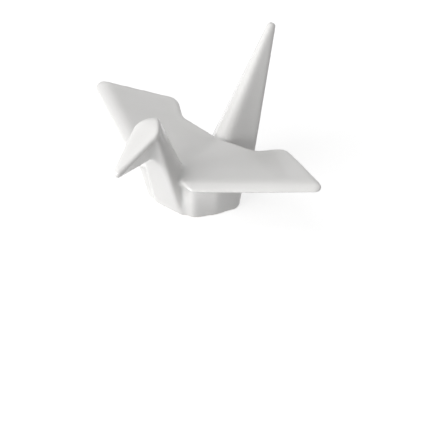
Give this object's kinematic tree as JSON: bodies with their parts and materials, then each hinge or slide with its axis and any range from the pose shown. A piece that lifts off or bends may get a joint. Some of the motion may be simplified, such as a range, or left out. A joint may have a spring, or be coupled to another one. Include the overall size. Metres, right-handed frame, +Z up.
{
  "type": "chopstick rest",
  "caption": "White glazed porcelain chopstick rest shaped as a folded paper crane: a flat foot, spread wings, and a saddle between the raised neck and tail that holds the sticks.",
  "frame": {"origin": "middle of the flat foot, on the table", "axes": "+X to the right wing, +Y to the tail, +Z up"},
  "size_m": [0.0556, 0.0468, 0.0267],
  "materials": {
    "porcelain": "gloss"
  },
  "bodies": {
    "root": {"body": "porcelain", "left_wing": "porcelain", "right_wing": "porcelain", "neck": "porcelain", "head": "porcelain", "tail": "porcelain"}
  },
  "joints": []
}
